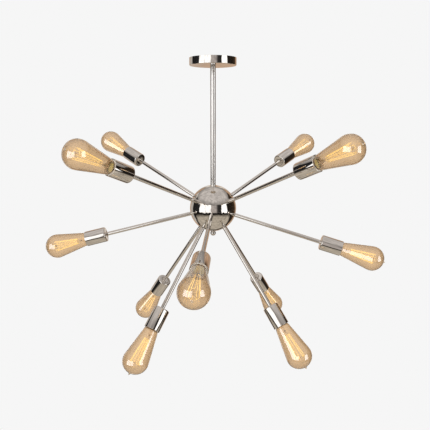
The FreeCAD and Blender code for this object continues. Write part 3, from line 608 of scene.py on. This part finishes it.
def strand_mesh():
    """One long coated wire that zigzags round the cage."""
    mesh = bpy.data.meshes.new("strand_cage")
    build = bmesh.new()
    tube_along(build, rounded_path(cage_corners(), 1.2), STRAND_RADIUS, 12)
    bmesh.ops.recalc_face_normals(build, faces=build.faces)
    finish_mesh(build, mesh, 60)
    mesh.materials.append(strand)
    return mesh


def mount_mesh():
    """The flared and pinched glass stem, its centre rod, the hooks and the lead-in wires."""
    foot = CAP_RIM - NECK_DEPTH
    neck = NECK_RADIUS - GLASS_WALL
    top = MOUNT_TOP
    waist = STEM_GLASS_RADIUS
    curve = [(waist + (neck - waist) * (1 - k / 12) ** 2.4, foot + 1.5 + 0.75 * k) for k in range(13)]
    flare = [(neck, foot)] + curve + [(waist, top - 5)]
    flare += arc(CENTRE_ROD_RADIUS, top - 3, waist - CENTRE_ROD_RADIUS, 0, 90, 6)
    flare += [(CENTRE_ROD_RADIUS, top + 0.4), (0, top + 0.4), (0, foot + 12)]
    flare += [(radius - FLARE_WALL, height) for radius, height in curve[::-1]]
    flare += [(neck - FLARE_WALL, foot)]
    build = bmesh.new()
    part = turned("part", flare, stem_glass, 64)
    build.from_mesh(part)
    bpy.data.meshes.remove(part)
    tube_along(build, [Vector((0, 0, top - 2)), Vector((0, 0, CAGE_END))], CENTRE_ROD_RADIUS, 16, 0)
    button = [(0, CAGE_END - 1.5)]
    button += arc(0.6, CAGE_END - 0.3, 1.2, -90, 0, 5)
    button += arc(0, CAGE_END + 2.2, 1.8, 0, 90, 8)
    button[-1] = (0, CAGE_END + 4)
    part = turned("part", button, stem_glass, 32)
    build.from_mesh(part)
    bpy.data.meshes.remove(part)
    corners = cage_corners()
    for start, end in zip(corners[1:-1:2], corners[2:-1:2]):
        middle = (start + end) / 2
        root = Vector((0, 0, middle.z))
        bend = root.lerp(middle, 0.5) + Vector((0, 0, 0.5))
        tube_along(build, [root, bend, middle], HOOK_RADIUS, 6, 1)
    for end in (corners[0], corners[-1]):
        root = Vector((end.x, end.y, 0)).normalized() * 1.3
        root.z = top - 4
        bend = Vector((end.x * 0.45, end.y * 0.45, top + 3))
        tube_along(build, rounded_path([root, bend, end], 3), LEAD_IN_RADIUS, 8, 1)
    bmesh.ops.recalc_face_normals(build, faces=build.faces)
    mesh = bpy.data.meshes.new("lamp_mount")
    finish_mesh(build, mesh, 45)
    mesh.materials.append(stem_glass)
    mesh.materials.append(strand_wire)
    return mesh


rod_mesh = turned("arm_rod", eased(rod_outline(), 0.3), tube_nickel, 64)
cup_mesh = turned("socket_cup", eased(cup_outline(), 0.2), nickel, 96)
porcelain_mesh = turned("porcelain_body", porcelain_outline(), porcelain, 96)
glass_mesh = turned("lamp_glass", glass_outline(), amber, 96)
cap_mesh = thread_mesh("lamp_cap")
cage_mesh = strand_mesh()
stem_mesh = mount_mesh()

for name in ARM_NAMES:
    tier = name.split("_")[0]
    matrix = arm_matrix(axes[name])
    place(f"rod_{name}", rod_mesh, "fixture", f"{tier}_arms", matrix)
    place(f"cup_{name}", cup_mesh, "fixture", "socket_cups", matrix)
    place(f"porcelain_{name}", porcelain_mesh, "fixture", "holder_bodies", matrix)
    lamp = f"lamp_{name}"
    glass = place(f"glass_{name}", glass_mesh, lamp, f"lamp_glass_{name}", matrix)
    place(f"cap_{name}", cap_mesh, lamp, f"lamp_cap_{name}", matrix)
    place(f"strands_{name}", cage_mesh, lamp, f"lamp_mount_{name}", matrix)
    mount = place(f"mount_{name}", stem_mesh, lamp, f"lamp_mount_{name}", matrix)
    # the studio's light passes through clear glass to what is in it
    glass.visible_shadow = False
    mount.visible_shadow = False

# each piece has its own mesh by now, so the ones it was copied from go
for drawn in [mesh for mesh in bpy.data.meshes if not mesh.users]:
    bpy.data.meshes.remove(drawn)

# ---------------------------------------------------------------- nodes that keep their own shape
KEPT = {
    "mounting_strap": zinc_steel,
    "earth_screw": green_steel,
    "ceiling_nipple": zinc_steel,
    "nipple_nuts": zinc_steel,
    "ball_upper_half": nickel,
    "ball_lower_half": nickel,
    "tie_tube": zinc_steel,
    "tie_tube_nut": zinc_steel,
    "taped_splices": tape,
    "stem_leads": lead_cover,
    "arm_leads": lead_cover,
    "arm_nuts": zinc_steel,
    "holder_brackets": zinc_steel,
    "holder_screws": zinc_steel,
    "screw_shells": socket_brass,
    "centre_contacts": spring_bronze,
}
for name, material in KEPT.items():
    nodes[name].data.materials.clear()
    nodes[name].data.materials.append(material)

# ---------------------------------------------------------------- studio
BACKDROP = "#F6F6F6"
FLOOR_DEPTH = -2.2
CAMERA_FROM_BALL = (0.0052, -1.2502, 0.2414)
CAMERA_PITCH = 11.78            # degrees below the horizon
CAMERA_LENS = 39.33

# a made-up room: colours round the horizon, by bearing in degrees, 0 in front and 90 to the right
WALLS = [
    (-180, "#C9AB91"), (-172, "#E6E0D8"), (-167, "#E6E0D8"), (-164, "#8A6B50"), (-158, "#C9AB91"),
    (-146, "#B8967A"), (-143, "#C8C4BE"), (-121, "#BDB8B2"), (-117, "#1E1D1D"), (-71.5, "#2A2A2C"),
    (-69.5, "#FFFFFF"), (-39.5, "#FFFFFF"), (-38.9, "#8C8A88"), (-37.9, "#8C8A88"), (-37.3, "#FFFFFF"),
    (-12, "#FFFFFF"), (-10, "#C2BBB7"), (14, "#B5AEAB"), (23, "#3A3837"), (42, "#232222"),
    (44, "#FFFFFF"), (73, "#FFFFFF"), (75, "#1C1A19"), (118, "#33291F"), (137, "#4A3A2C"),
    (143, "#B8967A"), (156, "#C9AB91"), (160, "#7A5D46"), (164, "#E6E0D8"), (170, "#DAD2C8"),
    (174, "#C9AB91"), (180, "#C9AB91"),
]
# white where a window lets in more light than a wall gives back
WINDOWS = [
    (-180, "#000000"), (-71.5, "#000000"), (-69.5, "#FFFFFF"), (-39.5, "#FFFFFF"), (-38.9, "#000000"),
    (-37.9, "#000000"), (-37.3, "#FFFFFF"), (-12, "#FFFFFF"), (-10, "#000000"), (42, "#000000"),
    (44, "#FFFFFF"), (73, "#FFFFFF"), (75, "#000000"),
]


def studio():
    """What mirrors see: windows, dark walls, a pale ceiling, a beige floor and a tan back wall.

    The camera and the glass see the plain pale backdrop, and dull surfaces get a plain level of light.
    """
    world = bpy.data.worlds.new("studio")
    bpy.context.scene.world = world
    world.use_nodes = True
    tree = world.node_tree
    tree.nodes.clear()
    looking = add(tree, "ShaderNodeTexCoord").outputs["Generated"]

    # the room's edges are bent a little, as things that stand in it would break them up
    clutter = add(tree, "ShaderNodeTexNoise", {"Vector": looking, "Scale": 3.5, "Detail": 3.0})
    level = {0: clutter.outputs["Color"], 1: (0.5, 0.5, 0.5)}
    shift = add(tree, "ShaderNodeVectorMath", level, operation="SUBTRACT")
    push = {0: shift.outputs[0], 1: (0.16, 0.16, 0.16), 2: looking}
    bent = add(tree, "ShaderNodeVectorMath", push, operation="MULTIPLY_ADD")
    x, y, z = add(tree, "ShaderNodeSeparateXYZ", {0: bent.outputs[0]}).outputs

    front = add(tree, "ShaderNodeMath", {0: y, 1: -1.0}, operation="MULTIPLY")
    bearing = add(tree, "ShaderNodeMath", {0: x, 1: front.outputs[0]}, operation="ARCTAN2")
    turn = {"Value": bearing.outputs[0], "From Min": -math.pi, "From Max": math.pi}
    share = add(tree, "ShaderNodeMapRange", turn)
    round_horizon = []
    for stops in (WALLS, WINDOWS):
        band = add(tree, "ShaderNodeValToRGB", {0: share.outputs[0]})
        elements = band.color_ramp.elements
        while len(elements) < len(stops):
            elements.new(0.5)
        for element, (degrees, hue) in zip(elements, stops):
            element.position = degrees / 360 + 0.5
            element.color = colour(hue)
        round_horizon.append(band.outputs[0])
    wall, windows = round_horizon

    # ceiling and floor start further from the horizon behind the object
    behind = add(tree, "ShaderNodeMapRange", {"Value": y, "From Min": 0.1, "From Max": 0.5})
    top = add(tree, "ShaderNodeMapRange", {"Value": behind.outputs[0], "To Min": 0.40, "To Max": 0.52})
    bottom = add(tree, "ShaderNodeMapRange", {"Value": behind.outputs[0], "To Min": -0.27, "To Max": -0.62})
    above = add(tree, "ShaderNodeMath", {0: z, 1: top.outputs[0]}, operation="SUBTRACT")
    below = add(tree, "ShaderNodeMath", {0: bottom.outputs[0], 1: z}, operation="SUBTRACT")
    near_edge = {"From Min": -0.01, "From Max": 0.01}
    in_ceiling = add(tree, "ShaderNodeMapRange", {"Value": above.outputs[0], **near_edge})
    in_floor = add(tree, "ShaderNodeMapRange", {"Value": below.outputs[0], **near_edge})
    high = add(tree, "ShaderNodeMapRange", {"Value": above.outputs[0], "From Max": 0.3})
    paler = {"Factor": high.outputs[0], 6: colour("#8A8683"), 7: colour("#D0CBC8")}
    ceiling = add(tree, "ShaderNodeMix", paler, data_type="RGBA")
    low = add(tree, "ShaderNodeMapRange", {"Value": below.outputs[0], "From Min": 0.1, "From Max": 0.3})
    sandier = {"Factor": low.outputs[0], 6: colour("#1F1C1A"), 7: colour("#BDB4A6")}
    floor = add(tree, "ShaderNodeMix", sandier, data_type="RGBA")

    # windows are stronger in the glass, which mirrors only a small part of them
    path = add(tree, "ShaderNodeLightPath")
    strengths = {"Value": path.outputs["Is Singular Ray"], "To Min": 0.55, "To Max": 3.5}
    extra = add(tree, "ShaderNodeMapRange", strengths)
    more = {0: windows, 1: extra.outputs[0], 2: 1.0}
    glow = add(tree, "ShaderNodeMath", more, operation="MULTIPLY_ADD")
    bright_wall = add(tree, "ShaderNodeVectorMath", {0: wall}, operation="SCALE")
    tree.links.new(glow.outputs[0], bright_wall.inputs["Scale"])
    upper = {"Factor": in_ceiling.outputs[0], 6: bright_wall.outputs[0], 7: ceiling.outputs[2]}
    room = add(tree, "ShaderNodeMix", upper, data_type="RGBA")
    lower = {"Factor": in_floor.outputs[0], 6: room.outputs[2], 7: floor.outputs[2]}
    room = add(tree, "ShaderNodeMix", lower, data_type="RGBA")
    crowd = {"Vector": looking, "Scale": 4.5, "Detail": 6.0, "Distortion": 1.0}
    things = add(tree, "ShaderNodeTexNoise", crowd)
    shades = {"From Min": 0.35, "From Max": 0.65, "To Min": 0.78, "To Max": 1.2}
    mottle = add(tree, "ShaderNodeMapRange", {"Value": things.outputs[0], **shades})
    furnished = add(tree, "ShaderNodeVectorMath", {0: room.outputs[2]}, operation="SCALE")
    tree.links.new(mottle.outputs[0], furnished.inputs["Scale"])

    straight = {0: path.outputs["Is Camera Ray"], 1: path.outputs["Is Transmission Ray"]}
    seen = add(tree, "ShaderNodeMath", straight, operation="MAXIMUM")
    plain = add(tree, "ShaderNodeBackground", {"Color": colour("#FFFFFF"), "Strength": 0.75})
    mirror = add(tree, "ShaderNodeBackground", {"Color": furnished.outputs[0], "Strength": 1.0})
    pale = add(tree, "ShaderNodeBackground", {"Color": colour(BACKDROP), "Strength": 1.0})
    by_glossy = {0: path.outputs["Is Glossy Ray"], 1: plain.outputs[0], 2: mirror.outputs[0]}
    lit = add(tree, "ShaderNodeMixShader", by_glossy)
    shown = add(tree, "ShaderNodeMixShader", {0: seen.outputs[0], 1: lit.outputs[0], 2: pale.outputs[0]})
    add(tree, "ShaderNodeOutputWorld", {"Surface": shown.outputs[0]})


def soft_lamp(name, place_at, size, watts):
    """A large soft lamp aimed at the ball, left out of the mirror surfaces."""
    data = bpy.data.lights.new(name, "AREA")
    data.shape = "SQUARE"
    data.size = size
    data.energy = watts
    lamp = bpy.data.objects.new(name, data)
    bpy.context.scene.collection.objects.link(lamp)
    lamp.location = place_at
    lamp.rotation_euler = (BALL_CENTRE - Vector(place_at)).to_track_quat("-Z", "Y").to_euler()
    lamp.visible_glossy = False
    lamp.visible_transmission = False
    lamp.visible_camera = False


def pale_floor():
    """A floor far below, which the camera sees as the backdrop and which takes a faint shadow."""
    mesh = bpy.data.meshes.new("floor")
    build = bmesh.new()
    bmesh.ops.create_grid(build, x_segments=1, y_segments=1, size=6.0)
    build.to_mesh(mesh)
    build.free()
    material, tree, shader, output, _ = new_material("floor_painted_matt")
    shader.inputs["Base Color"].default_value = colour("#EDEDED")
    shader.inputs["Roughness"].default_value = 0.9
    path = add(tree, "ShaderNodeLightPath")
    straight = {0: path.outputs["Is Camera Ray"], 1: path.outputs["Is Transmission Ray"]}
    seen = add(tree, "ShaderNodeMath", straight, operation="MAXIMUM")
    pale = add(tree, "ShaderNodeEmission", {"Color": colour(BACKDROP)})
    mixed = add(tree, "ShaderNodeMixShader", {0: seen.outputs[0], 1: shader.outputs[0], 2: pale.outputs[0]})
    tree.links.new(mixed.outputs[0], output.inputs[0])
    mesh.materials.append(material)
    floor = bpy.data.objects.new("floor", mesh)
    bpy.context.scene.collection.objects.link(floor)
    floor.location.z = FLOOR_DEPTH
    floor.visible_glossy = False


studio()
pale_floor()
soft_lamp("key", (-1.6, -2.0, 0.9), 1.6, 22.0)
soft_lamp("fill", (2.0, -1.4, 0.2), 1.6, 10.0)

camera_data = bpy.data.cameras.new("camera")
camera_data.lens = CAMERA_LENS
camera_data.sensor_width = 36.0
camera = bpy.data.objects.new("camera", camera_data)
bpy.context.scene.collection.objects.link(camera)
camera.location = BALL_CENTRE + Vector(CAMERA_FROM_BALL)
camera.rotation_euler = (math.radians(90 - CAMERA_PITCH), 0, 0)
bpy.context.scene.camera = camera
bpy.context.scene.view_settings.view_transform = "Standard"
